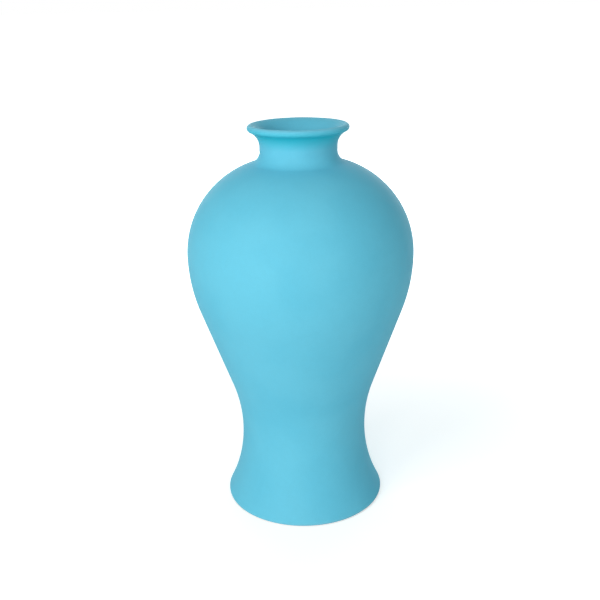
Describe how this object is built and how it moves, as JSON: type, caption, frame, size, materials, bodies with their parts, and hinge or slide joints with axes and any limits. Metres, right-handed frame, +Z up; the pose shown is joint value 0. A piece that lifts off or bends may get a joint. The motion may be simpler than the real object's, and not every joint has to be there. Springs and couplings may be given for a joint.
{
  "type": "meiping vase",
  "caption": "Tall plum vase with a turned-out lip, short neck, broad shoulder, drawn-in waist and spreading foot, which holds water and cut stems.",
  "frame": {"origin": "centre of the foot ring, on the table", "axes": "+Z up along the axis of revolution; the vase is round, so X and Y are free and -Y is taken as the front"},
  "size_m": [0.1714, 0.1714, 0.3],
  "materials": {
    "stoneware": "bare fired stoneware, buff, fine grog",
    "slip": "bare fired slip, buff",
    "blue_glaze": "matte sky-blue glaze, smooth",
    "liner_glaze": "satin sky-blue glaze"
  },
  "bodies": {
    "root": {"foot_section": "stoneware", "lower_body": "stoneware", "upper_body": "stoneware", "mouth_section": "stoneware", "waist_luting_slip": "slip", "belly_luting_slip": "slip", "neck_luting_slip": "slip", "outer_glaze": "blue_glaze", "liner_glaze": "liner_glaze", "base_glaze": "blue_glaze"}
  },
  "joints": []
}
